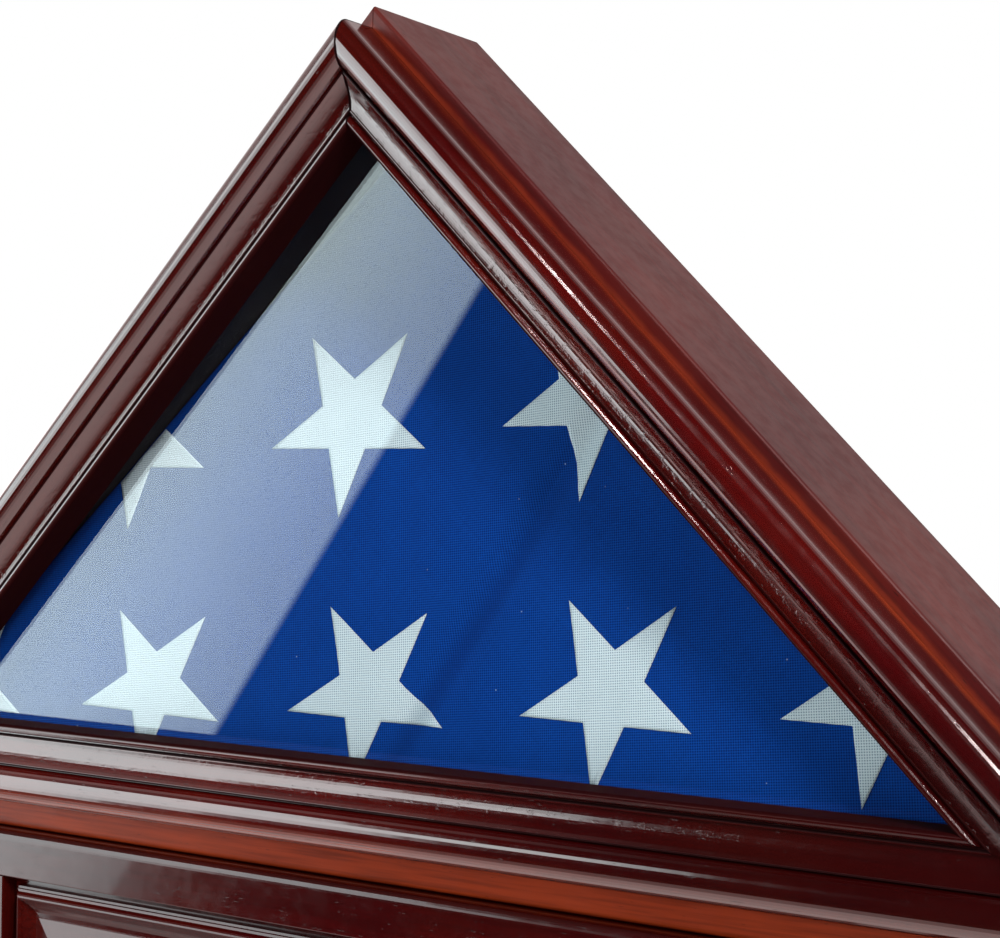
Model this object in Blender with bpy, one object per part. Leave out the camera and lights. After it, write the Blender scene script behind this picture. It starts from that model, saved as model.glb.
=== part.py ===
"""Folded flag display case standing on a pedestal, as separate named pieces.

Metres, +Z up, front facing -Y, origin on the floor under the middle of the object.
Shapes are worked out in millimetres in the case's own frame and moved at the end: there x is across,
d is depth behind the front lip of the mouldings, and h is height above the sill of the window.
"""

import math

import bmesh
import bpy
from mathutils import Vector

# ---- driving dimensions, mm -------------------------------------------------------------------
WINDOW = 278.0  # half the width of the window, and its height
MOULD_SIDE = 33.2  # width of a sloping moulding
MOULD_BASE = 37.5  # width of the moulding along the base
BOARD_IN, BOARD_OUT = 28.2, 40.2  # faces of the sloping boards, measured out from the window
BASE_IN, BASE_OUT = 34.6, 54.6  # the same for the base board
FRONT, REAR = 17.5, 100.6  # front and rear edges of the box boards
GLASS = 2.5
LINER_SIDE, LINER_BASE = 14.0, 5.0  # inner faces of the felt-covered liners
DOOR = 4.0
GAP = 0.3

PED_HALF, PED_TALL = 403.5, 140.0
PED_FRONT, PED_REAR = 9.0, 117.0
FRAME_THICK = 14.0
PED_TOP = -BASE_OUT - GAP
PED_BOTTOM = PED_TOP - PED_TALL
OPEN_TOP, OPEN_BOTTOM = PED_TOP - 23.1, PED_BOTTOM + 34.9
CENTRE_HALF, STILE, END_STILE = 221.0, 30.0, 45.0
FOOT = 3.0
PLINTH = 9.0

KNOB_LONG, RIDGE_CREST = 14.4, -9.5
Y_SHIFT = -(PED_REAR + KNOB_LONG + RIDGE_CREST) / 2
Z_SHIFT = FOOT + GAP - PED_BOTTOM
ROOT2 = math.sqrt(2.0)

for old in list(bpy.data.objects):
    bpy.data.objects.remove(old, do_unlink=True)

WOOD = (0.095, 0.018, 0.012)
WOOD_INSIDE = (0.42, 0.27, 0.16)
BRASS = (0.62, 0.45, 0.19)
COLOURS = {
    "wood": (WOOD, 0.22, 0.0),
    "bare": (WOOD_INSIDE, 0.6, 0.0),
    "glass": ((0.85, 0.92, 0.90), 0.03, 0.0),
    "cloth": ((0.01, 0.035, 0.20), 0.85, 0.0),
    "brass": (BRASS, 0.28, 1.0),
    "steel": ((0.55, 0.55, 0.56), 0.3, 1.0),
    "plastic": ((0.05, 0.035, 0.03), 0.45, 0.0),
    "felt": ((0.03, 0.03, 0.03), 0.95, 0.0),
}


# ---- helpers ------------------------------------------------------------------------------------
def at(x, d, h):
    """A point of the case's frame, in metres in the object's frame."""
    return (x * 0.001, (d + Y_SHIFT) * 0.001, (h + Z_SHIFT) * 0.001)


def add(name, points, faces, kind, pivot=(0, 0, 0), smooth=35):
    """A named piece from points in the case's frame, its origin at pivot."""
    origin = Vector(at(*pivot)) if pivot != (0, 0, 0) else Vector((0, 0, 0))
    mesh = bpy.data.meshes.new(name)
    mesh.from_pydata([Vector(at(*p)) - origin for p in points], [], faces)
    bm = bmesh.new()
    bm.from_mesh(mesh)
    bmesh.ops.remove_doubles(bm, verts=bm.verts, dist=1e-6)
    bmesh.ops.recalc_face_normals(bm, faces=bm.faces)
    bm.to_mesh(mesh)
    bm.free()
    mesh.polygons.foreach_set("use_smooth", [True] * len(mesh.polygons))
    mesh.set_sharp_from_angle(angle=math.radians(smooth))
    piece = bpy.data.objects.new(name, mesh)
    piece.location = origin
    bpy.context.scene.collection.objects.link(piece)
    colour, rough, metal = COLOURS[kind]
    material = bpy.data.materials.new(name + "_" + kind)
    material.use_nodes = True
    shader = material.node_tree.nodes["Principled BSDF"]
    shader.inputs["Base Color"].default_value = (*colour, 1)
    shader.inputs["Roughness"].default_value = rough
    shader.inputs["Metallic"].default_value = metal
    if kind == "glass":
        shader.inputs["Transmission Weight"].default_value = 1.0
        shader.inputs["IOR"].default_value = 1.5
    mesh.materials.append(material)
    return piece


def loft(rings, closed=False):
    """Points and faces of rings of equal length joined in turn, both ends capped unless closed."""
    n = len(rings[0])
    points = [p for ring in rings for p in ring]
    faces = []
    count = len(rings)
    for i in range(count if closed else count - 1):
        a, b = i * n, (i + 1) % count * n
        for k in range(n):
            j = (k + 1) % n
            faces.append((a + k, a + j, b + j, b + k))
    if not closed:
        faces.append(tuple(range(n)))
        faces.append(tuple(range((count - 1) * n, count * n))[::-1])
    return points, faces


def bevel(piece, width, segments=2, angle=40):
    m = piece.modifiers.new("edges", "BEVEL")
    m.width = width * 0.001
    m.segments = segments
    m.limit_method = "ANGLE"
    m.angle_limit = math.radians(angle)
    m.harden_normals = True
    return piece


def box(name, x, d, h, kind, edge=0.6, pivot=(0, 0, 0)):
    ring = [(x[0], d[0]), (x[1], d[0]), (x[1], d[1]), (x[0], d[1])]
    piece = add(name, *loft([[(px, pd, z) for px, pd in ring] for z in h]), kind, pivot)
    return bevel(piece, edge) if edge else piece


def circle(radius, n):
    angles = [2 * math.pi * k / n for k in range(n)]
    return [(radius * math.cos(a), radius * math.sin(a)) for a in angles]


def lathe(name, centre, axis, profile, kind, n=24, pivot=(0, 0, 0)):
    """A turned piece: profile is (distance along the axis, radius)."""
    rings = []
    for along, radius in profile:
        ring = []
        for u, v in circle(radius, n):
            if axis == "y":
                ring.append((centre[0] + u, centre[1] + along, centre[2] + v))
            elif axis == "x":
                ring.append((centre[0] + along, centre[1] + u, centre[2] + v))
            else:
                ring.append((centre[0] + u, centre[1] + v, centre[2] + along))
        rings.append(ring)
    return add(name, *loft(rings), kind, pivot)


def drill(pieces, name, centre, axis, length, radius, n=20):
    """A round hole through or into each of the pieces."""
    cutter = lathe(name, centre, axis, [(0, radius), (length, radius)], "steel", n)
    cutter.hide_render = True
    cutter.display_type = "WIRE"
    for piece in pieces:
        m = piece.modifiers.new(name, "BOOLEAN")
        m.operation = "DIFFERENCE"
        m.solver = "EXACT"
        m.object = cutter


# ---- mitred triangle members --------------------------------------------------------------------
def corner(side, base, d, sign):
    """Where a line `side` out from the sloping edge meets a line `base` below the sill."""
    return (sign * (WINDOW + side * ROOT2 + base), d, -base)


def member(name, where, section, kind):
    """A mitred member: section is a list of (out on the slopes, out at the base, depth)."""
    cut = 0.2
    if where == "base":
        ends = []
        for sign in (-1, 1):
            ring = []
            for side, base, d in section:
                x, _, h = corner(side, base, d, sign)
                ring.append((x - sign * 2 * cut, d, h))
            ends.append(ring)
    else:
        sign = -1 if where == "left" else 1
        top, foot = [], []
        for side, base, d in section:
            top.append((sign * cut, d, WINDOW + side * ROOT2 - cut))
            x, _, h = corner(side, base, d, sign)
            foot.append((x - sign * cut, d, h + cut))
        ends = [top, foot]
    return add(name, *loft(ends), kind)


def moulding_section():
    """Lip bead, quirk, cove, fillet, quirk and the big half-round, then the flat back."""
    pts = [(0.0, FRONT - GAP), (0.0, 1.9)]
    for k in range(9):
        t = math.pi * k / 8
        pts.append((1.8 - 1.8 * math.cos(t), 1.3 - 2.0 * math.sin(t)))
    pts += [(3.75, 2.5), (4.55, 2.5), (4.7, 1.0), (5.6, 0.9), (5.75, 1.8)]
    for k in range(1, 10):
        u = k / 10
        pts.append((5.75 + 10.45 * u, 1.8 - 5.4 * u + 6.4 * u * (1 - u)))
    pts += [(16.2, -3.7), (17.0, -3.9), (17.15, -1.6)]
    for k in range(21):
        t = math.pi * k / 20
        pts.append((25.4 - 7.8 * math.cos(t), -1.6 - 7.9 * math.sin(t)))
    pts.append((MOULD_SIDE, FRONT - GAP))
    scale = MOULD_BASE / MOULD_SIDE
    return [(w, w * scale, d) for w, d in pts]


def board_section(inner, outer, front, rear, round_front=1.6, round_rear=0.8):
    """A board on edge, its outer front arris rounded: inner and outer are (slope, base) pairs."""
    pts = [(0.0, front)]
    depth = outer[0] - inner[0]
    for k in range(5):
        t = math.pi / 2 * k / 4
        pts.append((depth - round_front * (1 - math.sin(t)), front + round_front * (1 - math.cos(t))))
    pts += [(depth, rear - round_rear), (depth - round_rear, rear), (0.0, rear)]
    scale = (outer[1] - inner[1]) / depth
    return [(inner[0] + w, inner[1] + w * scale, d) for w, d in pts]


# ---- the case -------------------------------------------------------------------------------------
boards = board_section((BOARD_IN, BASE_IN), (BOARD_OUT, BASE_OUT), FRONT, REAR)
liner_outer = (BOARD_IN - GAP, BASE_IN - GAP)
liner_front, liner_rear = FRONT + GLASS + GAP, REAR - DOOR - GAP
liners = board_section((LINER_SIDE, LINER_BASE), liner_outer, liner_front, liner_rear, 0.5, 0.5)
side_left = member("case_side_board_left", "left", boards, "wood")
side_right = member("case_side_board_right", "right", boards, "wood")
base_board = member("case_base_board", "base", boards, "wood")
for where, label in (("left", "left"), ("right", "right"), ("base", "bottom")):
    member("front_moulding_" + label, where, moulding_section(), "wood")
for where in ("left", "right", "base"):
    member("liner_" + where, where, liners, "felt")


def triangle(side, base, d):
    half = WINDOW + side * ROOT2 + base
    return [(-half, d, -base), (half, d, -base), (0.0, d, WINDOW + side * ROOT2)]


glass_faces = [triangle(24.0, 30.0, FRONT), triangle(24.0, 30.0, FRONT + GLASS)]
glass = add("glass_pane", *loft(glass_faces), "glass")
bevel(glass, 0.4, 1)


def flag_ring(depths, inset):
    """One face of the folded flag: a triangle that leans back towards its point."""
    half, foot, tip = 301.0 - inset * 2.2, -LINER_BASE + GAP + inset, 296.5 - inset * 1.2
    return [(-half, depths[0], foot), (half, depths[0], foot), (0.0, depths[1], tip)]


flag_rings = [
    flag_ring((22.5, 64.5), 4.0),
    flag_ring((30.0, 70.0), 0.0),
    flag_ring((66.0, 80.0), 0.0),
    flag_ring((74.0, 83.0), 4.0),
]
add("folded_flag", *loft(flag_rings), "cloth")

# the back: a thin board with cropped tips, so that its corners clear the boards as it swings
AXIS_D, AXIS_H = REAR + GAP + 2.6, -BASE_IN + GAP
door_side, door_foot, tip_x = BOARD_IN - 0.6, -BASE_IN + 0.6, 335.0
slope = WINDOW + door_side * ROOT2
outline = [(-tip_x, door_foot), (tip_x, door_foot)]
outline += [(tip_x, slope - tip_x), (0.0, slope), (-tip_x, slope - tip_x)]
case_axis = (0.0, AXIS_D, AXIS_H)
door_faces = [[(x, d, h) for x, h in outline] for d in (REAR - DOOR, REAR)]
case_door = add("case_door", *loft(door_faces), "bare", case_axis)
bevel(case_door, 0.5, 1)


# ---- butt hinges ------------------------------------------------------------------------------------
def leaf(name, stations, curled, axis, up, tall, kind="brass", pivot=(0, 0, 0)):
    """A hinge leaf: a flat plate whose edge curls round the pin between some of its stations."""
    outer, thick = 2.6, 1.2
    inner = outer - thick
    step = outer + GAP
    curl = [(thick, 0.0)]
    angles = [180 + 290 * k / 14 for k in range(15)]
    for radius, turn in ((inner, angles[1:]), (outer, angles[::-1])):
        for a in turn:
            t = math.radians(a)
            curl.append((outer + radius * math.cos(t), radius * math.sin(t)))
    plate = [(0.0, tall), (thick, tall), (thick, step), (0.0, step)]
    full = plate[:3] + curl + plate[3:]
    n = len(full)
    points = []
    for x in stations:
        points += [(axis[0] + x, axis[1] - outer + p, axis[2] + up * q) for p, q in full]
    faces = []
    plate_ids = [0, 1, 2, n - 1]
    curl_ids = list(range(2, n))
    for i, has_curl in enumerate(curled):
        ids = list(range(n)) if has_curl else plate_ids
        a, b = i * n, (i + 1) * n
        for k in range(len(ids)):
            j, m = ids[k], ids[(k + 1) % len(ids)]
            faces.append((a + j, a + m, b + m, b + j))
    for i in range(len(stations)):
        before = curled[i - 1] if i else None
        after = curled[i] if i < len(curled) else None
        ends = before is None or after is None
        if ends:
            has_curl = after if before is None else before
            ids = list(range(n)) if has_curl else plate_ids
        else:
            ids = curl_ids
        faces.append(tuple(i * n + k for k in ids))
    piece = add(name, points, faces, kind, pivot)
    bm = bmesh.new()
    bm.from_mesh(piece.data)
    bmesh.ops.delete(bm, geom=[v for v in bm.verts if not v.link_faces], context="VERTS")
    bmesh.ops.recalc_face_normals(bm, faces=bm.faces)
    bm.to_mesh(piece.data)
    bm.free()
    return piece


def screw(name, place, shank, pivot=(0, 0, 0)):
    """A round-headed screw driven forward from place, which is under its head."""
    profile = [(-shank, 0.5), (-shank + 1.0, 1.2), (0.0, 1.2)]
    profile += [(0.0, 2.8), (0.5, 2.7), (1.1, 2.0), (1.4, 0.9)]
    return lathe(name, place, "y", profile, "brass", 16, pivot)


def pin_profile(reach):
    """A hinge pin with its ends taken off, reaching the same each way."""
    return [(-reach, 0.7), (-reach + 0.4, 1.1), (reach - 0.4, 1.1), (reach, 0.7)]


for label, sign in (("left", -1), ("right", 1)):
    axis = (sign * 180.0, AXIS_D, AXIS_H)
    hinge = f"case_hinge_{label}"
    outer_knuckles, middle_knuckle = (True, False, True), (False, True, False)
    fixed = leaf(hinge + "_frame_leaf", (-19, -6.5, 6.5, 19), outer_knuckles, axis, -1, 17.0)
    door_stops = (-19, -6.2, 6.2, 19)
    moving = leaf(hinge + "_door_leaf", door_stops, middle_knuckle, axis, 1, 17.0, pivot=case_axis)
    lathe(hinge + "_pin", axis, "x", pin_profile(19.6), "steel", 16)
    for k, dx in enumerate((-12.0, 12.0)):
        under = REAR + GAP + 1.2 + GAP
        low = (axis[0] + dx, under, AXIS_H - 10.0)
        high = (axis[0] + dx, under, AXIS_H + 10.0)
        screw(f"case_hinge_{label}_frame_screw_{k + 1}", low, 12.0)
        screw(f"case_hinge_{label}_door_screw_{k + 1}", high, 4.8, case_axis)
        low_hole = (low[0], REAR - 11.2, low[2])
        high_hole = (high[0], REAR - 3.6, high[2])
        drill([fixed, base_board], f"cut_low_{label}_{k}", low_hole, "y", 20.0, 1.5, 12)
        drill([moving, case_door], f"cut_high_{label}_{k}", high_hole, "y", 12.0, 1.5, 12)

box("case_catch", (-15.0, 15.0), (84.0, REAR - DOOR - 1.3), (259.0, 269.5), "plastic", 0.8)
strike_depth = (REAR - DOOR - 1.0, REAR - DOOR - GAP)
box("case_strike", (-11.0, 11.0), strike_depth, (259.5, 268.5), "steel", 0, case_axis)
knob = [(GAP, 3.2), (2.5, 3.2), (4.0, 2.8), (6.5, 3.0), (8.5, 5.2)]
knob += [(10.5, 6.4), (12.5, 6.0), (14.0, 3.8), (KNOB_LONG, 1.5)]
lathe("case_door_knob", (0.0, REAR, 235.0), "y", knob, "brass", 28, case_axis)


# ---- the pedestal ------------------------------------------------------------------------------------
def rail(name, section, half, kind="wood"):
    """A straight member across the front: section is (depth, height)."""
    return add(name, *loft([[(x, d, h) for d, h in section] for x in (-half, half)]), kind)


BACK_OF_FRAME = PED_FRONT + FRAME_THICK
ROUND = 5.0
top_section = [(BACK_OF_FRAME, OPEN_TOP), (PED_FRONT, OPEN_TOP)]
for k in range(9):
    t = math.pi / 2 * k / 8
    top_section.append((PED_FRONT + ROUND * (1 - math.cos(t)), PED_TOP - ROUND * (1 - math.sin(t))))
top_section.append((BACK_OF_FRAME, PED_TOP))
bevel(rail("pedestal_top_rail", top_section, PED_HALF), 0.5, 2, 60)
bottom_section = [(BACK_OF_FRAME, PED_BOTTOM), (PED_FRONT, PED_BOTTOM)]
bottom_section += [(PED_FRONT, OPEN_BOTTOM), (BACK_OF_FRAME, OPEN_BOTTOM)]
bevel(rail("pedestal_bottom_rail", bottom_section, PED_HALF), 0.5)
upright = (OPEN_BOTTOM + GAP, OPEN_TOP - GAP)
frame_depth = (PED_FRONT, BACK_OF_FRAME)
INNER = CENTRE_HALF + STILE
END = PED_HALF - END_STILE
for label, sign in (("left", -1), ("right", 1)):
    outer_stile = sorted((sign * END, sign * PED_HALF))
    inner_stile = sorted((sign * CENTRE_HALF, sign * INNER))
    box(f"pedestal_end_stile_{label}", outer_stile, frame_depth, upright, "wood", 0.5)
    box(f"pedestal_inner_stile_{label}", inner_stile, frame_depth, upright, "wood", 0.5)

# how far in from the opening's edge, and how deep, each line of the raised panel runs
PANEL = [
    (-4.5, BACK_OF_FRAME + 4.0), (-4.5, BACK_OF_FRAME + GAP), (GAP, BACK_OF_FRAME + GAP),
    (GAP, 18.0), (4.6, 18.0),
    (5.0, 14.6), (6.0, 14.2), (6.3, 13.4), (7.4, 13.0), (7.8, 12.0), (8.3, 11.1), (9.0, 10.5), (9.8, 10.3),
    (10.6, 10.5), (11.3, 11.1), (11.8, 12.2), (12.6, 12.9), (14.0, 14.1), (15.6, 15.1), (17.3, 15.7),
    (19.3, 15.9), (19.8, 15.1), (33.8, 11.6), (34.2, 10.9),
]


def panel(name, x0, x1):
    rings = []
    for inset, d in PANEL:
        a, b = x0 + inset, x1 - inset
        low, high = OPEN_BOTTOM + inset, OPEN_TOP - inset
        rings.append([(a, d, low), (b, d, low), (b, d, high), (a, d, high)])
    return add(name, *loft(rings), "wood")


panel("panel_centre", -CENTRE_HALF, CENTRE_HALF)
panel("panel_left", -END, -INNER)
panel("panel_right", INNER, END)

WALL = 12.0
BACK_FRONT = PED_REAR - WALL
inside_depth = (BACK_OF_FRAME + GAP, BACK_FRONT - GAP)
for label, sign in (("left", -1), ("right", 1)):
    faces = sorted((sign * (PED_HALF - WALL), sign * PED_HALF))
    box(f"pedestal_end_{label}", faces, inside_depth, (PED_BOTTOM, PED_TOP), "wood", 0.8)
inside_half = PED_HALF - WALL - GAP
inside = (-inside_half, inside_half)
top_board = box("pedestal_top", inside, inside_depth, (PED_TOP - 18.0, PED_TOP), "wood", 0.4)
box("pedestal_bottom", inside, inside_depth, (PED_BOTTOM, PED_BOTTOM + WALL), "wood", 0.4)
back_depth = (BACK_FRONT, PED_REAR)
back = box("pedestal_back", (-PED_HALF, PED_HALF), back_depth, (PED_BOTTOM, PED_TOP), "wood", 0.8)
HATCH_HALF, HATCH_LOW, HATCH_HIGH = 150.0, PED_BOTTOM + 25.0, PED_BOTTOM + 110.0
hatch_through = (BACK_FRONT - 5, PED_REAR + 5)
hatch_cut = box("cut_hatch", (-HATCH_HALF, HATCH_HALF), hatch_through, (HATCH_LOW, HATCH_HIGH), "wood", 0)
hatch_cut.hide_render = True
hatch_cut.display_type = "WIRE"
hole = back.modifiers.new("hatch", "BOOLEAN")
hole.operation = "DIFFERENCE"
hole.solver = "EXACT"
hole.object = hatch_cut

ped_axis = (0.0, PED_REAR + GAP + 2.6, HATCH_LOW + GAP)
hatch_depth = (PED_REAR - 11.0, PED_REAR)
hatch_wide = (-HATCH_HALF + 0.6, HATCH_HALF - 0.6)
hatch_tall = (HATCH_LOW + 0.6, HATCH_HIGH - 1.6)
box("pedestal_door", hatch_wide, hatch_depth, hatch_tall, "wood", 0.5, ped_axis)
PLAY = 0.15  # each knuckle stops this far short of where the next begins
frame_stations = (-120, -60 - PLAY, PLAY, 60 - PLAY, 120)
door_stations = (-120, -60 + PLAY, -PLAY, 60 + PLAY, 120)
odd_knuckles, even_knuckles = (True, False, True, False), (False, True, False, True)
leaf("pedestal_hinge_frame_leaf", frame_stations, odd_knuckles, ped_axis, -1, 13.0)
leaf("pedestal_hinge_door_leaf", door_stations, even_knuckles, ped_axis, 1, 13.0, pivot=ped_axis)
lathe("pedestal_hinge_pin", ped_axis, "x", pin_profile(120.6), "steel", 16)
catch_top = PED_TOP - 18.0 - GAP
catch_tall = (catch_top - 22.0, catch_top)
box("pedestal_catch", (-15.0, 15.0), (92.0, BACK_FRONT - GAP), catch_tall, "plastic", 0.8)
plate_depth = (BACK_FRONT, BACK_FRONT + 0.7)
plate_tall = (HATCH_HIGH - 13.0, HATCH_HIGH - 3.0)
box("pedestal_strike", (-11.0, 11.0), plate_depth, plate_tall, "steel", 0, ped_axis)
lathe("pedestal_door_knob", (0.0, PED_REAR, HATCH_HIGH - 22.0), "y", knob, "brass", 28, ped_axis)


def plinth_section():
    """Base moulding, as (distance out from the pedestal's face, height)."""
    pts = [(GAP, PED_BOTTOM), (PLINTH, PED_BOTTOM), (PLINTH, PED_BOTTOM + 13.0), (8.0, PED_BOTTOM + 14.2)]
    for k in range(9):
        u = k / 8
        pts.append((7.2 - 5.4 * (u - math.sin(2 * math.pi * u) / 9), PED_BOTTOM + 15.0 + 12.0 * u))
    return pts + [(1.8, PED_BOTTOM + 29.0), (GAP, PED_BOTTOM + 29.6)]


section = plinth_section()
miter = 0.2
front_ends = []
for sign in (-1, 1):
    front_ends.append([(sign * (PED_HALF + p - miter), PED_FRONT - p, h) for p, h in section])
add("plinth_front", *loft(front_ends), "wood")
for label, sign in (("left", -1), ("right", 1)):
    near = [(sign * (PED_HALF + p), PED_FRONT - p + miter, h) for p, h in section]
    far = [(sign * (PED_HALF + p), PED_REAR, h) for p, h in section]
    add("plinth_" + label, *loft([near, far]), "wood")

feet = {
    "front_left": (-370, 40),
    "front_right": (370, 40),
    "rear_left": (-370, 95),
    "rear_right": (370, 95),
}
for label, (x, d) in feet.items():
    profile = [(0.0, 8.6), (0.4, 9.0), (FOOT, 9.0)]
    lathe("foot_pad_" + label, (x, d, PED_BOTTOM - GAP - FOOT), "z", profile, "felt", 20)

# pins that stand in the pedestal's top and enter the underside of the case
for label, x in (("left", -250.0), ("right", 250.0)):
    foot = PED_TOP - 10.0
    profile = [(0.0, 3.6), (0.5, 4.0), (17.5, 4.0), (19.7, 3.0)]
    lathe("locating_pin_" + label, (x, 60.0, foot), "z", profile, "bare", 20)
    drill([top_board], "cut_pin_low_" + label, (x, 60.0, foot - GAP), "z", 20.0, 4.3)
    drill([base_board], "cut_pin_high_" + label, (x, 60.0, -BASE_OUT - 5.0), "z", 15.6, 4.4)
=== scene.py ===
"""Looks of a folded flag display case on its pedestal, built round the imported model. Metres, front at -Y."""

import math
import random

import bmesh
import bpy
from mathutils import Matrix, Vector, noise


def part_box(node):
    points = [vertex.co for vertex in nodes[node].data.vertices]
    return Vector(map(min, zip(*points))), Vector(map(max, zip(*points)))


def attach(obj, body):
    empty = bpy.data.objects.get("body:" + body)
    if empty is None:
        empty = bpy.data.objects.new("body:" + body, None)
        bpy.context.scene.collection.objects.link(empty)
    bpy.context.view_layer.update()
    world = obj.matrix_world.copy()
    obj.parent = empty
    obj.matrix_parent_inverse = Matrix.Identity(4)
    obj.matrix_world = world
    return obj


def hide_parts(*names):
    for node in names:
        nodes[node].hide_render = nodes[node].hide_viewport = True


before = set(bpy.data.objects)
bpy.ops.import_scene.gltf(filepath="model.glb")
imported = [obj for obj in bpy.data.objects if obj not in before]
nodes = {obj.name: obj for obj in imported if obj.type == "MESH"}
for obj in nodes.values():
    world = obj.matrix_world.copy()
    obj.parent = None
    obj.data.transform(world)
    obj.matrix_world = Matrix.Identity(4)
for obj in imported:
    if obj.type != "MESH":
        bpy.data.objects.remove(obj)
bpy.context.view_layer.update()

MM = 0.001
ROOT2 = math.sqrt(2.0)
random.seed(7)

# The case's own frame, in mm: x across, d behind the front lip, h above the sill of the window.
GLASS_FRONT, FLAG_FOOT = 17.5, -4.7
Y0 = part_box("glass_pane")[0].y - GLASS_FRONT * MM
Z0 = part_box("folded_flag")[0].z - FLAG_FOOT * MM
WINDOW = 278.0


def at(x, d, h):
    """A point of the case's frame, in metres in the object's frame."""
    return Vector((x * MM, Y0 + d * MM, Z0 + h * MM))


def link(thing):
    bpy.context.scene.collection.objects.link(thing)
    return thing


# ---- shader building ------------------------------------------------------------------------------
class Paint:
    """A material, or a world, whose nodes are added by short calls; self.shader is its Principled shader."""

    def __init__(self, name, world=False):
        self.material = bpy.data.worlds.new(name) if world else bpy.data.materials.new(name)
        self.material.use_nodes = True
        self.tree = self.material.node_tree
        self.shader = self.tree.nodes["Background" if world else "Principled BSDF"]

    def put(self, socket, value):
        if isinstance(value, bpy.types.NodeSocket):
            self.tree.links.new(value, socket)
        else:
            socket.default_value = value

    def add(self, kind, inputs, **props):
        node = self.tree.nodes.new("ShaderNode" + kind)
        for key, value in props.items():
            setattr(node, key, value)
        for key, value in inputs.items():
            self.put(node.inputs[key], value)
        return node

    def object_coords(self):
        return self.add("TexCoord", {}).outputs["Object"]

    def mapped(self, vector, rotation=(0, 0, 0), scale=(1, 1, 1), location=(0, 0, 0)):
        inputs = {"Vector": vector, "Rotation": rotation, "Scale": scale, "Location": location}
        return self.add("Mapping", inputs).outputs[0]

    def noise(self, vector, scale, detail=3.0, rough=0.5, twist=0.0):
        inputs = {"Vector": vector, "Scale": scale, "Detail": detail, "Roughness": rough, "Distortion": twist}
        return self.add("TexNoise", inputs).outputs["Fac"]

    def math(self, how, a, b=0.0, clamp=False):
        return self.add("Math", {0: a, 1: b}, operation=how, use_clamp=clamp).outputs[0]

    def span(self, value, low, high, to_low=0.0, to_high=1.0):
        """A smooth step of value from low to high."""
        inputs = {"Value": value, "From Min": low, "From Max": high, "To Min": to_low, "To Max": to_high}
        return self.add("MapRange", inputs, interpolation_type="SMOOTHSTEP").outputs[0]

    def dot(self, vector, direction):
        return self.add("VectorMath", {0: vector, 1: direction}, operation="DOT_PRODUCT").outputs["Value"]

    def mix(self, factor, a, b):
        """Colour a where factor is 0 and b where it is 1."""
        node = self.add("Mix", {0: factor}, data_type="RGBA")
        colour_a, colour_b, result = node.inputs[6], node.inputs[7], node.outputs[2]
        for socket, colour in ((colour_a, a), (colour_b, b)):
            self.put(socket, colour if isinstance(colour, bpy.types.NodeSocket) else (*colour, 1))
        return result

    def bump(self, height, distance, normal=None, strength=1.0):
        inputs = {"Height": height, "Distance": distance, "Strength": strength}
        if normal is not None:
            inputs["Normal"] = normal
        return self.add("Bump", inputs).outputs[0]

    def set(self, **values):
        for key, value in values.items():
            if isinstance(value, tuple) and len(value) == 3:
                value = (*value, 1)
            self.put(self.shader.inputs[key.replace("_", " ")], value)
        return self.material


# Turns that lay the grain along each direction; "x" is also the bottom moulding's and the base board's.
TURN = {
    "x": (0, 0, 0),
    "y": (0, 0, -math.pi / 2),
    "z": (0, math.pi / 2, 0),
    "left": (0, math.pi / 4, 0),
    "right": (0, 3 * math.pi / 4, 0),
}
# Directions that point out of the window across each moulding.
ACROSS = {"left": (-1 / ROOT2, 0, 1 / ROOT2), "right": (1 / ROOT2, 0, 1 / ROOT2), "x": (0, 0, -1)}


# Colours of the stain where it lies full, its paler tones where it was wiped back and where painted glow
# lightens it, its streaks and pores, and the black of painted shade and of dark joints.
FULL_STAIN = ((0.034, 0.0004, 0.0007), (0.105, 0.0014, 0.0022))
THIN_STAIN_AND_GLOW = ((0.36, 0.032, 0.006), (0.62, 0.085, 0.015))
STREAK, PORE, SHADE_AND_JOINT_BLACK = (0.020, 0.0010, 0.0010), (0.006, 0.001, 0.001), (0.010, 0.0005, 0.0008)
LACQUER_TINT = (1.0, 0.84, 0.82)
SATIN_FROM = 0.3  # a gloss value above this is a satin finish, with no wet coat


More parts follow.
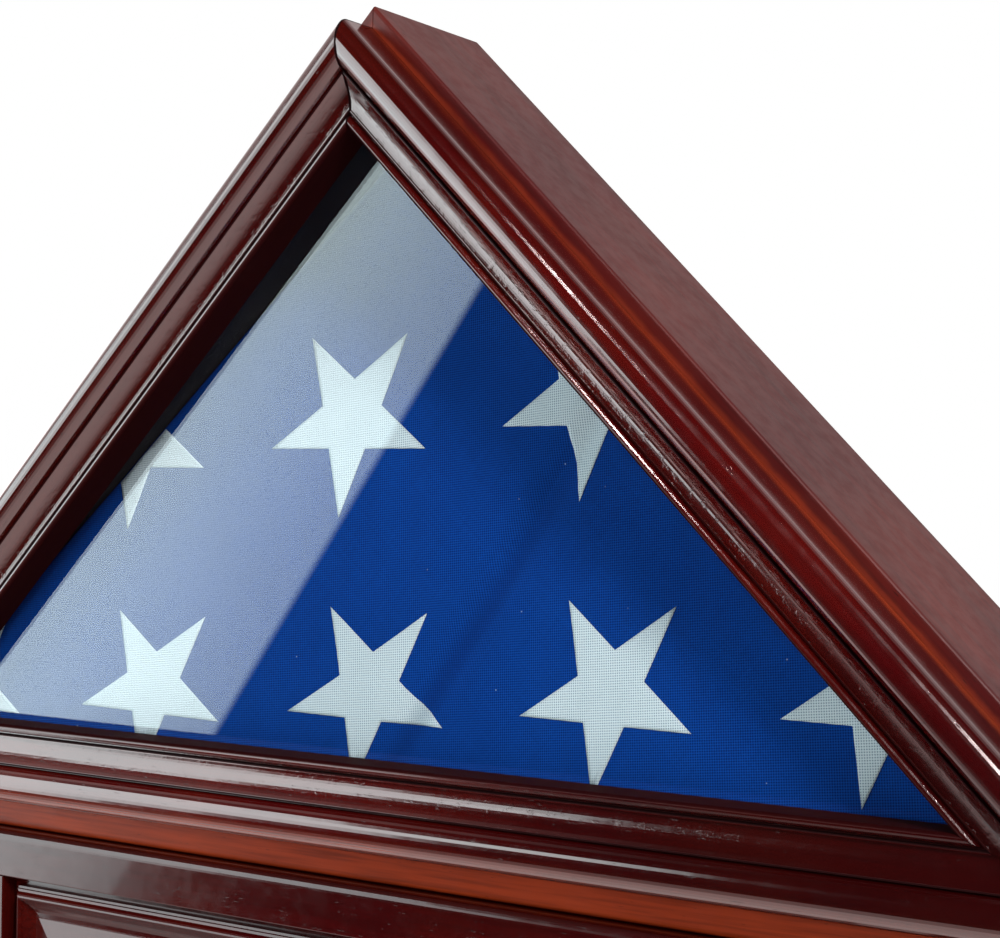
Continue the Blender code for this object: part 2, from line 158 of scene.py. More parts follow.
def mahogany(name, grain, tone=None, gloss=0.11, seed=0.0, ior=1.9, shade=0.0, jag=None, dull=None):
    """Stained and lacquered wood. tone(paint, coords) may give how far the stain is wiped back and lit by
    painted glow, shade how far it is darkened toward black (painted shade on the mouldings), jag where the
    lacquer sank into the grain, and dull where it stayed bare, each 0 to 1."""
    p = Paint(name)
    satin = gloss > SATIN_FROM
    place = p.object_coords()
    along = p.mapped(place, TURN[grain], location=(seed, seed * 0.37, seed * 0.73))
    figure = p.noise(p.mapped(along, scale=(0.10, 1, 1)), 38.0, 4, 0.55, 0.6)
    streak = p.noise(p.mapped(along, scale=(0.035, 1, 1)), 420.0, 3, 0.6)
    pores = p.noise(p.mapped(along, scale=(0.14, 1, 1)), 1300.0, 2, 0.5)
    pit = p.math("MULTIPLY", p.span(pores, 0.67, 0.74), p.span(p.noise(place, 70.0, 2), 0.45, 0.62))
    thin_stain_and_glow = p.math("MULTIPLY", p.span(p.noise(place, 9.0, 2, 0.5), 0.3, 0.7), 0.08)
    # tone may add painted light: orange glow lines of painted highlight, brighter towards one end.
    if tone is not None:
        thin_stain_and_glow = p.math("ADD", thin_stain_and_glow, tone(p, place), clamp=True)
    dark = p.mix(figure, *FULL_STAIN)
    light = p.mix(figure, *THIN_STAIN_AND_GLOW)
    colour = p.mix(thin_stain_and_glow, dark, light)
    colour = p.mix(p.span(streak, 0.35, 0.75, 0.0, 0.45), colour, STREAK)
    colour = p.mix(p.math("MULTIPLY", pit, 0.8), colour, PORE)
    # Painted shade: darkened toward black where shade says, in recesses and grooves, towards the ends and over
    # a whole moulding; also the dark mitre joint, and a fixed darkening of each pedestal finish.
    colour = p.mix(shade(p, place) if callable(shade) else shade, colour, SHADE_AND_JOINT_BLACK)
    normal = p.bump(p.noise(place, 55.0, 2, 0.5), 0.0006, strength=0.03 if satin else 0.18)
    if jag is not None:
        sunk = p.noise(p.mapped(along, scale=(0.55, 1, 1)), 360.0, 3, 0.6)
        sunk = p.math("MULTIPLY", p.span(sunk, 0.52, 0.66), jag(p, place))
        normal = p.bump(sunk, 0.00010, normal, 0.6)
    normal = p.bump(p.math("MULTIPLY", pit, -1.0), 0.00006, normal, 0.6)
    normal = p.bump(streak, 0.00003, normal, 0.10)
    patchy = p.noise(place, 130.0, 3, 0.6)
    least, most = (0.9, 1.1) if satin else (1.0, 1.5)
    rough = p.span(patchy, 0.3, 0.8, gloss * least, gloss * most)
    p.set(Base_Color=colour, Roughness=rough, Normal=normal, IOR=ior, Specular_Tint=LACQUER_TINT)
    wet = 0.0 if satin else 0.5
    p.set(Coat_Weight=wet, Coat_Roughness=0.03, Coat_IOR=1.42)
    if dull is not None:
        level = dull(p, place)
        p.set(Coat_Weight=p.math("MULTIPLY", level, 2 * wet))
        matt = p.span(level, 0.25, 0.05, 0.0, 0.95)
        p.set(Specular_IOR_Level=level, Roughness=p.math("MAXIMUM", rough, matt))
    return p.material


MOULD_WIDTH = {"left": 33.2 * MM, "right": 33.2 * MM, "x": 37.5 * MM}
# The two grooves of a sloping moulding, in mm: the middle of each, out from the window, and half its width.
QUIRKS = ((4.7, 0.9), (16.9, 1.0))


def outward(p, place, side):
    """How far a point lies outside the edge of the window, in metres."""
    zero = -Z0 if side == "x" else (WINDOW * MM + Z0) / ROOT2
    return p.math("SUBTRACT", p.dot(place, ACROSS[side]), zero)


def share_across(p, place, side):
    """How far across its moulding a point lies: 0 at the window, 1 at the outer edge."""
    return p.math("DIVIDE", outward(p, place, side), MOULD_WIDTH[side])


def behind_lip(p, place):
    """How far a point lies behind the front lip, in metres."""
    return p.math("SUBTRACT", p.dot(place, (0, 1, 0)), Y0)


def wobble(p, place, scale):
    """Up to 1.5 mm either way, so that the edges of the painted glow lines don't run dead straight."""
    return p.math("MULTIPLY", p.math("SUBTRACT", p.noise(place, scale, 3, 0.6), 0.5), 3.0 * MM)


def painted_ridge_glow(side, most, body=0.0):
    """A painted orange glow line, painted highlight deep on the outer side of the ridge, brightening as
    painted light towards the sill, and on the bottom moulding towards the right; body spreads a painted lit
    band over the outer flank.
    """
    def tone(p, place):
        across = share_across(p, place, side)
        depth = p.math("ADD", behind_lip(p, place), wobble(p, place, 60.0))
        line = p.math("MULTIPLY", p.span(across, 0.93, 0.98), p.span(depth, 10.5 * MM, 16.5 * MM))
        if side == "x":
            foot = p.span(p.dot(place, (1, 0, 0)), -0.30, 0.25, 0.75, 1.0)
        else:
            foot = p.span(p.dot(place, (0, 0, 1)), Z0 + 0.27, Z0 - 0.02, 0.20, 1.0)
        # Painted highlight: the glow line, scaled by most and brightened towards the foot as painted light.
        strong = p.math("MULTIPLY", p.math("MULTIPLY", line, most), foot)
        return p.math("ADD", strong, p.math("MULTIPLY", p.span(across, 0.75, 0.93), body))
    return tone


def in_quirks(p, place, side):
    """Painted shade in the two narrow grooves of the moulding, and the dark joint of the mitre at the apex."""
    scale = MOULD_WIDTH[side] / MOULD_WIDTH["left"]
    out = outward(p, place, side)
    deep = 0.0
    for middle, half in QUIRKS:
        off = p.math("ABSOLUTE", p.math("SUBTRACT", out, middle * scale * MM))
        deep = p.math("MAXIMUM", p.span(off, half * MM, half * 0.4 * MM), deep)
    if side != "x":
        ragged = p.math("MULTIPLY", p.noise(place, 260.0, 3, 0.6), 1.3 * MM)
        off = p.math("ABSOLUTE", p.dot(place, (1, 0, 0)))
        deep = p.math("MAXIMUM", p.math("LESS_THAN", off, ragged), deep)
    return deep


def painted_moulding_shade(side, overall, ends=0.0):
    """Painted shade: black on the inside edge of the window and in the grooves, darker over a whole moulding
    by overall and towards the ends of a length.
    """
    def shade(p, place):
        height = p.dot(place, (0, 0, 1))
        if side == "x":
            foot = p.span(p.dot(place, (1, 0, 0)), -0.05, 0.20, 0.0, ends)
        else:
            foot = p.span(height, Z0 + 0.11, Z0 - 0.01, 0.0, ends)
        tip = p.span(height, Z0 + 0.20, Z0 + 0.30, 0.0, ends * 0.6)
        length = p.math("ADD", p.math("MAXIMUM", foot, tip), overall)
        reveal = p.span(outward(p, place, side), 2.6 * MM, 0.6 * MM, 0.0, 0.92)
        return p.math("MAXIMUM", p.math("MAXIMUM", reveal, in_quirks(p, place, side)), length)
    return shade


def dull_reveal(side):
    """The inside edge of the window and the grooves shine less than the rest of the moulding."""
    def weight(p, place):
        shine = p.span(outward(p, place, side), 0.6 * MM, 2.6 * MM, 0.02, 0.5)
        return p.math("MULTIPLY", shine, p.span(in_quirks(p, place, side), 0.0, 1.0, 1.0, 0.12))
    return weight


def sunk_cove(side, most=1.0):
    """In the cove the lacquer sank into the grain."""
    def jag(p, place):
        across = share_across(p, place, side)
        return p.math("MULTIPLY", p.span(across, 0.06, 0.14), p.span(across, 0.62, 0.46, 0.0, most))
    return jag


SATIN = {"gloss": 0.50, "ior": 1.5}


def pale_edge_and_glow(side, most, overall=0.0):
    """The boards' front edges are lightened: by overall where they took less stain, and most in the angle
    behind the moulding by a painted orange glow line.
    """
    def tone(p, place):
        front = p.span(behind_lip(p, place), 19.0 * MM, 17.6 * MM)
        out = p.math("ADD", outward(p, place, side), wobble(p, place, 75.0))
        width = 4.5 * MM if side == "x" else 3.2 * MM
        near = MOULD_WIDTH[side]
        angle = p.span(out, near + width, near, 0.0, most)
        return p.math("MULTIPLY", front, p.math("MAXIMUM", angle, overall))
    return tone


def bare_wood(name, grain, colour=((0.36, 0.20, 0.10), (0.55, 0.36, 0.20))):
    p = Paint(name)
    place = p.object_coords()
    along = p.mapped(place, TURN[grain])
    figure = p.noise(p.mapped(along, scale=(0.08, 1, 1)), 60.0, 4, 0.6, 0.8)
    fibre = p.noise(p.mapped(along, scale=(0.03, 1, 1)), 900.0, 3, 0.6)
    tint = p.mix(figure, *colour)
    tint = p.mix(p.span(fibre, 0.4, 0.8, 0.0, 0.4), tint, (0.18, 0.09, 0.04))
    p.set(Base_Color=tint, Roughness=p.span(fibre, 0.3, 0.8, 0.5, 0.75))
    return p.set(Normal=p.bump(fibre, 0.0001, strength=0.6))


def metal(name, colour, rough):
    p = Paint(name)
    place = p.object_coords()
    along = p.mapped(place, scale=(0.04, 1, 1))
    scratch = p.noise(along, 2200.0, 3, 0.6)
    tarnish = p.noise(place, 140.0, 4, 0.6)
    dull = tuple(c * 0.55 for c in colour)
    p.set(Base_Color=p.mix(p.span(tarnish, 0.45, 0.75), colour, dull), Metallic=1.0)
    p.set(Roughness=p.span(tarnish, 0.3, 0.8, rough * 0.7, rough * 1.6))
    return p.set(Normal=p.bump(scratch, 0.00002, strength=0.4))


def plastic(name, colour):
    p = Paint(name)
    grit = p.noise(p.object_coords(), 1800.0, 2, 0.5)
    p.set(Base_Color=p.mix(grit, colour, tuple(c * 1.6 for c in colour)))
    return p.set(Roughness=p.span(grit, 0.3, 0.7, 0.35, 0.55), Normal=p.bump(grit, 0.00005, strength=0.5))


# The liners' felt is given a navy so dark that it reads as black behind the glass: painted shade of the recess
# between the moulding and the glass, over the felt's own dark colour.
LINING_AND_SHADE = ((0.0004, 0.0005, 0.002), (0.001, 0.002, 0.007))


def felt(name, tones=((0.012, 0.012, 0.013), (0.07, 0.07, 0.075))):
    p = Paint(name)
    place = p.object_coords()
    fuzz = p.noise(place, 2600.0, 4, 0.8)
    p.set(Base_Color=p.mix(fuzz, *tones), Roughness=0.95)
    return p.set(Normal=p.bump(fuzz, 0.0004, strength=0.8), Sheen_Weight=0.02)


def pane(name):
    """Clear glass with a faint film of dust; lamps shine straight through it."""
    p = Paint(name)
    place = p.object_coords()
    film = p.mix(p.span(p.noise(place, 26.0, 4, 0.6), 0.35, 0.75), (0.98, 0.99, 0.988), (0.94, 0.955, 0.955))
    p.set(Base_Color=film, Roughness=0.0, Transmission_Weight=1.0, IOR=1.52)
    path = p.add("LightPath", {})
    through = p.math("MAXIMUM", path.outputs["Is Shadow Ray"], path.outputs["Is Diffuse Ray"])
    clear = p.add("BsdfTransparent", {"Color": (0.94, 0.96, 0.95, 1)})
    both = p.add("MixShader", {0: through, 1: p.shader.outputs[0], 2: clear.outputs[0]})
    p.put(p.tree.nodes["Material Output"].inputs["Surface"], both.outputs[0])
    return p.material


THREAD_PITCH = 0.0015  # metres from thread to thread, set for the look and coarser than the photo's


def cloth(name, low, high, hole_and_crease_shade, knot):
    """Plain weave bunting; the mesh's own coordinates along warp and weft are in metres."""
    p = Paint(name)
    thread = p.add("UVMap", {}, uv_map="Weave").outputs[0]
    split = p.add("SeparateXYZ", {0: thread})
    pitch = 2 * math.pi / THREAD_PITCH
    warp = p.math("SINE", p.math("MULTIPLY", split.outputs[0], pitch))
    weft = p.math("SINE", p.math("MULTIPLY", split.outputs[1], pitch))
    weave = p.math("MULTIPLY", warp, weft)
    slub = p.noise(p.mapped(thread, scale=(1, 0.06, 1)), 700.0, 3, 0.6)
    slub2 = p.noise(p.mapped(thread, scale=(0.06, 1, 1)), 700.0, 3, 0.6)
    yarn = p.math("MULTIPLY", p.math("ADD", slub, slub2), 0.5)
    mottle = p.noise(thread, 22.0, 4, 0.6)
    tint = p.mix(p.span(yarn, 0.15, 0.85, 0.15, 0.85), low, high)
    tint = p.mix(p.span(mottle, 0.3, 0.7, 0.0, 0.3), tint, low)
    tint = p.mix(p.math("MULTIPLY", p.span(weave, 0.05, 0.8), 0.95), tint, hole_and_crease_shade)
    tint = p.mix(p.span(weave, -0.35, -0.9, 0.0, 0.45), tint, knot)
    lint = p.add("TexVoronoi", {"Vector": thread, "Scale": 95.0}).outputs["Distance"]
    fleck = p.math("MULTIPLY", p.span(lint, 0.045, 0.02), p.span(p.noise(thread, 60.0), 0.5, 0.6))
    tint = p.mix(p.math("MULTIPLY", fleck, 0.5), tint, (0.55, 0.62, 0.68))
    place = p.object_coords()
    # Painted shade along the crease: a soft band darkened toward the colour of the weave's holes, fading out
    # above and below.
    on_crease = CREASE_X * MM * CREASE_ACROSS[0] + (CREASE_H * MM + Z0) * CREASE_ACROSS[1]
    off = p.math("SUBTRACT", p.dot(place, (CREASE_ACROSS[0], 0, CREASE_ACROSS[1])), on_crease)
    off = p.math("ADD", off, p.math("MULTIPLY", p.noise(place, 12.0, 2), 8 * MM))
    fold = p.span(p.math("ABSOLUTE", p.math("SUBTRACT", off, 4 * MM)), 9 * MM, 0.0, 0.0, 0.38)
    fold = p.math("MULTIPLY", fold, p.span(p.dot(place, (0, 0, 1)), Z0 + 0.165, Z0 + 0.06))
    tint = p.mix(fold, tint, hole_and_crease_shade)
    height = p.math("ADD", p.math("MULTIPLY", weave, -0.5), p.math("MULTIPLY", yarn, 0.6))
    p.set(Base_Color=tint, Roughness=0.85, Specular_IOR_Level=0.06)
    return p.set(Normal=p.bump(height, 0.0002, strength=0.22))


# ---- materials on the woodwork and its fittings ---------------------------------------------------
def dress(name, material):
    for slot in nodes[name].material_slots:
        slot.material = material


# Painted shade over a whole sloping moulding and over its two ends, and how strong the painted glow on its
# ridge.
SHADE_AND_GLOW = {"left": (0.60, 0.0, 0.10), "right": (0.12, 0.6, 1.0)}
for side, (overall, ends, ridge) in SHADE_AND_GLOW.items():
    # shade gives painted shade here; the tone below gives a painted glow on the ridge.
    stain = {"shade": painted_moulding_shade(side, overall, ends), "jag": sunk_cove(side), "dull": dull_reveal(side)}
    tone = painted_ridge_glow(side, ridge)
    dress("front_moulding_" + side, mahogany("moulding_" + side, side, tone, seed=1.3, **stain))
    # The side boards' front edges get a painted glow line beside the moulding.
    edge = pale_edge_and_glow(side, 0.30)
    dress("case_side_board_" + side, mahogany("board_" + side, side, edge, seed=2.1, **SATIN))
    dress("liner_" + side, felt("liner_felt_" + side, LINING_AND_SHADE))
# The bottom moulding: painted shade, deeper towards its right end, and a painted glow on its ridge and lower
# flank.
stain = {"shade": painted_moulding_shade("x", 0.25, 0.55), "jag": sunk_cove("x", 0.35), "dull": dull_reveal("x")}
tone = painted_ridge_glow("x", 0.45, 0.5)
dress("front_moulding_bottom", mahogany("moulding_bottom", "x", tone, seed=0.6, **stain))
# The base board's front edge: lighter stain overall, and a painted glow line beside the moulding.
edge = pale_edge_and_glow("x", 0.9, 0.62)
dress("case_base_board", mahogany("board_base", "x", edge, seed=3.2, gloss=0.35, ior=1.3))
dress("liner_base", felt("liner_felt_base", LINING_AND_SHADE))
dress("case_door", bare_wood("door_board", "x", ((0.30, 0.16, 0.075), (0.46, 0.28, 0.15))))
dress("glass_pane", pane("window_glass"))

# Each pedestal finish is darkened toward black by a fixed share.
across_grain = mahogany("pedestal_rails", "x", seed=4.0, gloss=0.15, ior=1.5, shade=0.55)
upright_grain = mahogany("pedestal_stiles", "z", seed=5.0, gloss=0.15, ior=1.5, shade=0.60)
panel_grain = mahogany("pedestal_panels", "x", seed=6.0, gloss=0.15, ior=1.5, shade=0.50)
end_grain = mahogany("pedestal_ends", "y", gloss=0.18, seed=7.0, ior=1.5, shade=0.20)
for name in nodes:
    if name in ("pedestal_top_rail", "pedestal_bottom_rail", "plinth_front", "pedestal_top"):
        dress(name, across_grain)
    elif "stile" in name:
        dress(name, upright_grain)
    elif name.startswith("panel_") or name in ("pedestal_back", "pedestal_door", "pedestal_bottom"):
        dress(name, panel_grain)
    elif name.startswith(("pedestal_end_", "plinth_")):
        dress(name, end_grain)

brass = metal("polished_brass", (0.72, 0.50, 0.20), 0.22)
steel = metal("bright_steel", (0.56, 0.56, 0.58), 0.30)
for name in nodes:
    if "leaf" in name or "screw" in name or "knob" in name:
        dress(name, brass)
    elif "strike" in name or name.endswith("_pin"):
        dress(name, steel)
    elif "catch" in name:
        dress(name, plastic("catch_plastic", (0.05, 0.032, 0.025)))
    elif "foot_pad" in name:
        dress(name, felt("pad_felt"))
    elif "locating_pin" in name:
        dress(name, bare_wood("dowel_wood_" + name, "z"))


# ---- the folded flag --------------------------------------------------------------------------------
PLIES = 50  # brings the sheet's area to about the flat size's
OUTER_GRID, INNER_GRID = (72, 96), (14, 14)  # rows and columns of points on an outer and an inner ply
HALF_BASE, FOOT, TIP = 300.6, FLAG_FOOT + 0.1, 296.0
FRONT_FOOT, FRONT_TIP, REAR_FOOT, REAR_TIP = 22.5, 64.5, 74.0, 83.0

CREASE_ACROSS = (0.862, -0.507)  # unit direction across the crease, in x and h
CREASE_X, CREASE_H = 55.0, 72.0  # a point on it
HEM_ROLL, HEM_ROWS = 2.2, 5  # how far an outer ply rolls over its edge, and in how many rows

# Where the star field lies on the front ply: its origin, turn, and how the cloth is pulled. These follow
# the stars' places in the photograph.
FIELD_X, FIELD_H, FIELD_TURN = -5.7, 29.4, -0.6718
PULL_U, PULL_V, SHEAR = 0.966, 1.001, 0.028
BULGE_U = (-2.45e-4, 1.91e-4, -2.36e-4)
BULGE_V = (-1.18e-4, -1.84e-4, 1.66e-4)
STAR_RADIUS, STAR_COLUMN, STAR_ROW = 45.3, 96.0, 82.3
STAR_WAIST = 0.382  # a star's inner corners, as a share of its radius
STAR_TURN = 0.6356
STAR_GRID = range(-5, 6)  # enough of the grid to cover the front ply
SIDE_LIMIT, LOW_LIMIT, HIGH_LIMIT = 330, -60, 320  # no star beyond these can reach the ply


def field_to_case(u, v):
    """A point of the flat star field, mm, to x and h on the front ply."""
    a = PULL_U * u + SHEAR * v + BULGE_U[0] * u * u + BULGE_U[1] * u * v + BULGE_U[2] * v * v
    b = PULL_V * v + SHEAR * u + BULGE_V[0] * u * u + BULGE_V[1] * u * v + BULGE_V[2] * v * v
    c, s = math.cos(FIELD_TURN), math.sin(FIELD_TURN)
    return FIELD_X + c * a - s * b, FIELD_H + s * a + c * b


def crease(x, h):
    """A soft valley that the fold underneath leaves in the front ply."""
    line = (x - CREASE_X) * CREASE_ACROSS[0] + (h - CREASE_H) * CREASE_ACROSS[1]
    fade = math.exp(-((h - 90.0) / 90.0) ** 2)
    step = 1.0 / (1.0 + math.exp(-line / 5.0))
    return (2.0 * step * math.exp(-max(line, 0.0) / 38.0) + 4.5 * math.exp(-((line / 8.0) ** 2))) * fade


def front_depth(x, h):
    lean = FRONT_FOOT + (FRONT_TIP - FRONT_FOOT) * (h - FOOT) / (TIP - FOOT)
    wave = noise.noise(Vector((x * 0.010, h * 0.010, 3.1))) * 0.9
    wave += noise.noise(Vector((x * 0.028, h * 0.028, 8.3))) * 0.25
    return lean + 0.6 + wave + crease(x, h)


def rear_depth(x, h):
    lean = REAR_FOOT + (REAR_TIP - REAR_FOOT) * (h - FOOT) / (TIP - FOOT)
    return lean - 0.6 + noise.noise(Vector((x * 0.012, h * 0.012, 5.7))) * 0.5


def ply_grid(rows, columns, inset, depth):
    """Rows of points from foot to tip; every row has the same number of points."""
    grid = []
    half, foot, tip = HALF_BASE - inset * 2.4, FOOT + inset, TIP - inset * 1.4
    for r in range(rows + 1):
        v = r / rows
        h = foot + (tip - foot) * v
        w = max(half * (1 - v), 1.2)
        grid.append([(w * (2 * c / columns - 1), h) for c in range(columns + 1)])
    return [[(x, depth(x, h), h) for x, h in row] for row in grid]


def edge_of(ids, which):
    if which == "base":
        return ids[0]
    return [row[0 if which == "left" else -1] for row in ids]


OUTWARD = {"base": (0, -1), "left": (-1 / ROOT2, 1 / ROOT2), "right": (1 / ROOT2, 1 / ROOT2)}


def build_flag():
    """Two outer plies with rolled edges; each ply between them joins the next at one edge, in turn."""
    points, faces = [], []

    def lay(grid):
        ids = []
        for row in grid:
            ids.append(list(range(len(points), len(points) + len(row))))
            points.extend(row)
        for a, b in zip(ids, ids[1:]):
            for k in range(len(a) - 1):
                faces.append((a[k], a[k + 1], b[k + 1], b[k]))
        return ids

    def hem(line, which, way):
        """The ply turns over its edge with a soft roll, towards way in depth."""
        ox, oh = OUTWARD[which]
        before = line
        for step in range(1, HEM_ROWS + 1):
            t = math.pi / 2 * step / HEM_ROWS
            after = []
            for k in line:
                x, d, h = points[k]
                out, back = HEM_ROLL * math.sin(t), HEM_ROLL * (1 - math.cos(t)) * way
                after.append(len(points))
                points.append((x + ox * out, d + back, h + oh * out))
            for k in range(len(line) - 1):
                faces.append((before[k], before[k + 1], after[k + 1], after[k]))
            before = after

    for depth, way in ((front_depth, 1), (rear_depth, -1)):
        ids = lay(ply_grid(*OUTER_GRID, 2.6, depth))
        for which in OUTWARD:
            hem(edge_of(ids, which), which, way)

    before = None
    turns = ("right", "base", "left")
    for i in range(1, PLIES - 1):
        share = 0.07 + 0.86 * (i - 1) / (PLIES - 3)
        wander = Vector((i * 0.31, 0, 0))

        def depth(x, h):
            a = front_depth(x, h) * (1 - share) + rear_depth(x, h) * share
            return a + 0.18 * noise.noise(Vector((x * 0.02, h * 0.02, 0)) + wander)

        ids = lay(ply_grid(*INNER_GRID, 2.2 + random.uniform(0.0, 1.6), depth))
        if before is not None:
            which = turns[i % 3]
            ox, oh = OUTWARD[which]
            a, b = edge_of(before, which), edge_of(ids, which)
            middle = []
            for m, n in zip(a, b):
                spot = [(points[m][k] + points[n][k]) / 2 for k in range(3)]
                middle.append(len(points))
                points.append((spot[0] + ox * 0.8, spot[1], spot[2] + oh * 0.8))
            for k in range(len(a) - 1):
                faces.append((a[k], a[k + 1], middle[k + 1], middle[k]))
                faces.append((middle[k], middle[k + 1], b[k + 1], b[k]))
        before = ids
    return mesh_piece("flag_folded_cloth", points, faces)


def mesh_piece(name, points, faces):
    """A smooth mesh from points in the case's frame, with warp and weft coordinates as a UV map."""
    mesh = bpy.data.meshes.new(name)
    mesh.from_pydata([at(*p) for p in points], [], faces)
    bm = bmesh.new()
    bm.from_mesh(mesh)
    bmesh.ops.remove_doubles(bm, verts=bm.verts, dist=1e-6)
    bmesh.ops.dissolve_degenerate(bm, edges=bm.edges, dist=1e-6)
    layer = bm.loops.layers.uv.new("Weave")
    c, s = math.cos(FIELD_TURN), math.sin(FIELD_TURN)
    for face in bm.faces:
        face.smooth = True
        for loop in face.loops:
            x, z = loop.vert.co.x, loop.vert.co.z - Z0
            loop[layer].uv = (x * c + z * s, z * c - x * s)
    bm.to_mesh(mesh)
    bm.free()
    return link(bpy.data.objects.new(name, mesh))


def inside_edge(x, h):
    """How far a point lies inside the flag's outline."""
    slope = (TIP - 3.0 - h) / ROOT2 - abs(x) / ROOT2
    return min(slope, h - FOOT - 2.0)


def build_stars():
    """The stars on the front ply, cut off at its edges."""
    points, faces = [], []
    steps, rings = 6, 9
    for i in STAR_GRID:
        for j in STAR_GRID:
            u0, v0 = STAR_COLUMN * (i - j), STAR_ROW * (i + j)
            x0, h0 = field_to_case(u0, v0)
            beyond = abs(x0) > SIDE_LIMIT or not LOW_LIMIT < h0 < HIGH_LIMIT
            if beyond or inside_edge(x0, h0) < -STAR_RADIUS:
                continue
            rim = []
            corners = []
            for k in range(10):
                radius = STAR_RADIUS * (1.0 if k % 2 == 0 else STAR_WAIST)
                t = math.radians(54 + 36 * k) + STAR_TURN
                corners.append((u0 + radius * math.cos(t), v0 + radius * math.sin(t)))
            for k in range(10):
                (ua, va), (ub, vb) = corners[k], corners[(k + 1) % 10]
                for m in range(steps):
                    rim.append((ua + (ub - ua) * m / steps, va + (vb - va) * m / steps))
            n = len(rim)
            ring_ids = []
            for r in range(rings + 1):
                share = r / rings
                row = []
                for u, v in rim:
                    x, h = field_to_case(u0 + (u - u0) * share, v0 + (v - v0) * share)
                    row.append(len(points))
                    points.append((x, front_depth(x, h) - 0.25, h))
                ring_ids.append(row)
            for a, b in zip(ring_ids, ring_ids[1:]):
                for k in range(n):
                    m = (k + 1) % n
                    faces.append((a[k], a[m], b[m], b[k]))
    stars = mesh_piece("flag_stars", points, faces)
    bm = bmesh.new()
    bm.from_mesh(stars.data)
    cuts = [((0, TIP - 3.0), (-1, 1)), ((0, TIP - 3.0), (1, 1)), ((0, FOOT + 2.8), (0, -1))]
    for (x, h), (nx, nh) in cuts:
        geometry = bm.verts[:] + bm.edges[:] + bm.faces[:]
        plane = at(x, 0, h)
        bmesh.ops.bisect_plane(bm, geom=geometry, plane_co=plane, plane_no=(nx, 0, nh), clear_outer=True)
    bmesh.ops.recalc_face_normals(bm, faces=bm.faces)
    bm.to_mesh(stars.data)
    bm.free()
    thick = stars.modifiers.new("cloth", "SOLIDIFY")
    thick.thickness = 0.0002
    thick.offset = 0.0
    return stars


# Each cloth's low and high tints, the dark holes of its weave, which also give the painted shade of the
# crease, and its bright knots.
BLUE = ((0.0008, 0.024, 0.17), (0.0016, 0.046, 0.27), (0.0006, 0.010, 0.08), (0.004, 0.095, 0.42))
WHITE = ((0.50, 0.57, 0.63), (0.62, 0.69, 0.74), (0.14, 0.19, 0.25), (0.70, 0.76, 0.80))

flag = build_flag()
flag.data.materials.append(cloth("blue_bunting", *BLUE))
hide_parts("folded_flag")
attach(flag, "case")
stars = build_stars()
stars.data.materials.append(cloth("white_bunting", *WHITE))
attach(stars, "case")


# ---- floor, light and camera ------------------------------------------------------------------------
FLOOR_RADIUS, FLOOR_SIDES = 1.6, 96
floor_mesh = bpy.data.meshes.new("studio_floor")
around = [2 * math.pi * k / FLOOR_SIDES for k in range(FLOOR_SIDES)]
rim = [(FLOOR_RADIUS * math.cos(t), FLOOR_RADIUS * math.sin(t), 0) for t in around]
floor_mesh.from_pydata(rim, [], [tuple(range(FLOOR_SIDES))])
floor = link(bpy.data.objects.new("studio_floor", floor_mesh))
floor.visible_glossy = False
floor.visible_transmission = False
paper = Paint("floor_paper")
fibre = paper.noise(paper.object_coords(), 400.0, 3, 0.6)
paper.set(Base_Color=paper.mix(fibre, (0.84, 0.84, 0.835), (0.90, 0.90, 0.895)), Roughness=0.8)
floor.data.materials.append(paper.material)


WINDOW_GLOW = 4.1
WINDOW_DAYLIGHT = (0.80, 0.97, 1.0, 1)


def window_light():
    """A tall bright window to the left of the camera, leaning; the glass mirrors its straight right edge."""
    facing = Vector((0.55, 0.835, 0.0)).normalized()
    rightward = Vector((facing.y, -facing.x, 0.0))
    upward = Vector((0, 0, 1))
    wide, below, above, lean = 1.40, 1.10, 0.95, math.radians(30.0)
    edge_out = rightward * math.cos(lean) - upward * math.sin(lean)
    edge_up = rightward * math.sin(lean) + upward * math.cos(lean)
    middle = at(0, GLASS_FRONT, 140) - facing * 2.0
    edge_middle = middle - rightward * 0.152 - upward * 0.052
    mesh = bpy.data.meshes.new("window_light")
    corners = []
    for u, v in ((-wide, -below), (0, -below), (0, above), (-wide, above)):
        corners.append(edge_middle + edge_out * u + edge_up * v)
    mesh.from_pydata(corners, [], [(0, 1, 2, 3)])
    piece = link(bpy.data.objects.new("window_light", mesh))
    piece.visible_camera = False
    piece.visible_shadow = False
    glow = Paint("window_glow")
    out = glow.dot(glow.object_coords(), tuple(edge_out))
    inward = glow.math("SUBTRACT", edge_middle.dot(edge_out), out)
    soft = glow.math("MULTIPLY", glow.span(inward, 0.0, 0.016), glow.span(inward, -0.05, 0.30, 0.62, 1.0))
    strength = glow.math("MULTIPLY", soft, WINDOW_GLOW)
    emit = glow.add("Emission", {"Color": WINDOW_DAYLIGHT, "Strength": strength})
    glow.put(glow.tree.nodes["Material Output"].inputs["Surface"], emit.outputs[0])
    mesh.materials.append(glow.material)


window_light()


def area_light(name, location, target, size, power):
    data = bpy.data.lights.new(name, "AREA")
    data.shape = "RECTANGLE"
    data.size, data.size_y = size
    data.energy = power
    lamp = link(bpy.data.objects.new(name, data))
    lamp.location = location
    lamp.rotation_mode = "QUATERNION"
    lamp.rotation_quaternion = (Vector(location) - Vector(target)).to_track_quat("Z", "Y")
    lamp.visible_camera = False
    return lamp


TARGET = (0.0, 0.0, 0.30)
area_light("ridge_strip", (0.62, -1.23, 1.91), (0.20, 0.0, 0.35), (0.55, 0.03), 4.5)
area_light("right_fill", (1.6, -1.1, 1.5), TARGET, (0.5, 0.5), 46)
area_light("front_fill", (0.2, -2.0, 0.8), TARGET, (1.0, 1.0), 12).visible_glossy = False


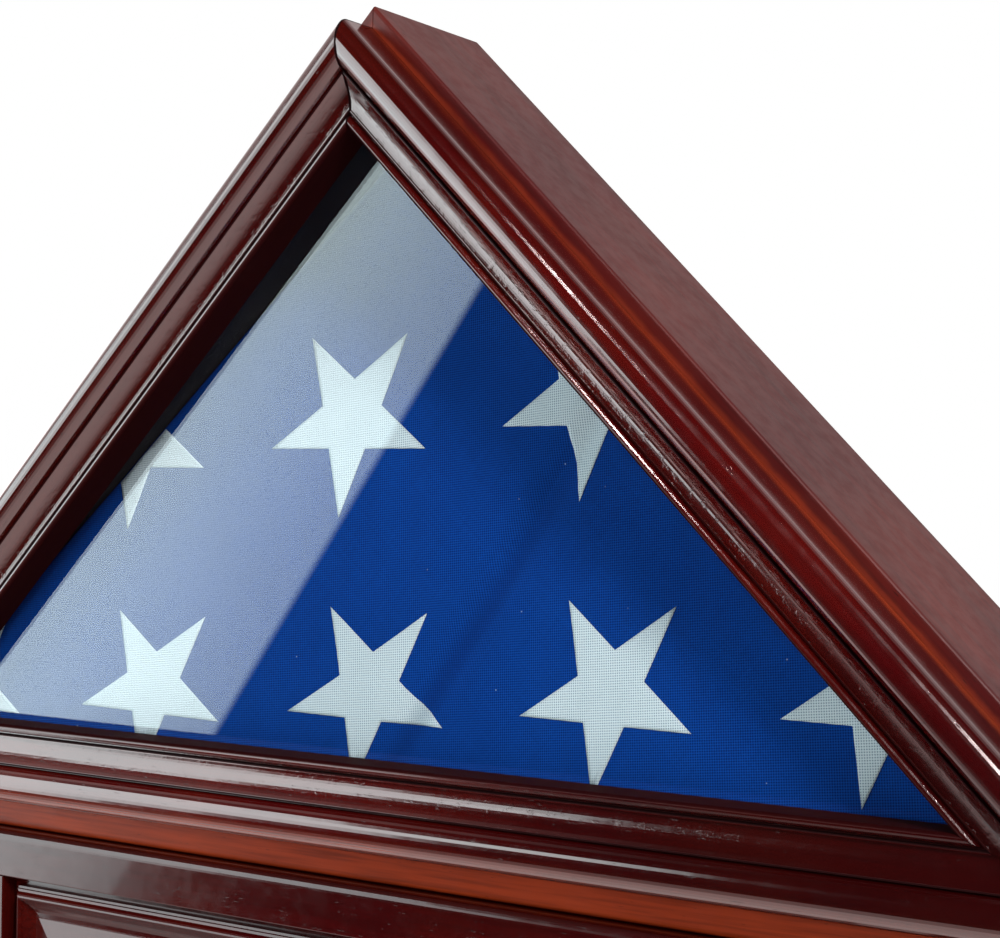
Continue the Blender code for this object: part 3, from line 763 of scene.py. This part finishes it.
def studio():
    """White behind the case; only glossy surfaces see the white table and the pale wall to the left."""
    sky = Paint("studio", world=True)
    way = sky.add("TexCoord", {}).outputs["Generated"]
    path = sky.add("LightPath", {})
    glow = sky.span(sky.dot(way, (0, 1, 0)), 0.20, 0.75, 0.012, 0.75)
    table = sky.span(sky.dot(way, (0, 0, -1)), 0.35, 0.80, 0.0, 1.2)
    low_left = sky.span(sky.dot(way, (-0.87, 0.38, -0.31)), 0.78, 0.99, 0.0, 4.2)
    high_left = sky.span(sky.dot(way, (-0.87, 0.38, 0.31)), 0.55, 0.95, 0.0, 0.8)
    seen = sky.math("MAXIMUM", sky.math("MAXIMUM", table, low_left), high_left)
    seen = sky.math("MULTIPLY", seen, path.outputs["Is Glossy Ray"])
    strength = sky.math("MAXIMUM", sky.math("MAXIMUM", glow, seen), path.outputs["Is Camera Ray"])
    sky.put(sky.shader.inputs["Strength"], strength)
    sky.put(sky.shader.inputs["Color"], sky.mix(path.outputs["Is Glossy Ray"], (1, 1, 1), (1.0, 0.89, 0.88)))
    bpy.context.scene.world = sky.material


studio()

# The camera stands right of centre, a little above the sill, and looks back towards the left.
CAMERA_AT = (0.5156, -0.7207, 0.3229)
YAW, PITCH, ROLL = 0.5803, 0.0033, 0.0117
FOCAL = 68.76
forward = Vector((-math.sin(YAW) * math.cos(PITCH), math.cos(YAW) * math.cos(PITCH), math.sin(PITCH)))
level = Vector((math.cos(YAW), math.sin(YAW), 0))
upward = level.cross(forward)
right = level * math.cos(ROLL) + upward * math.sin(ROLL)
upward = right.cross(forward)
camera_data = bpy.data.cameras.new("camera")
camera_data.lens = FOCAL
camera_data.sensor_width = 36.0
camera_data.shift_x, camera_data.shift_y = -0.0022, 0.004
camera_data.clip_start = 0.02
camera = link(bpy.data.objects.new("camera", camera_data))
camera.matrix_world = Matrix.Translation(CAMERA_AT) @ Matrix((right, upward, -forward)).transposed().to_4x4()
bpy.context.scene.camera = camera
bpy.context.scene.view_settings.view_transform = "Standard"
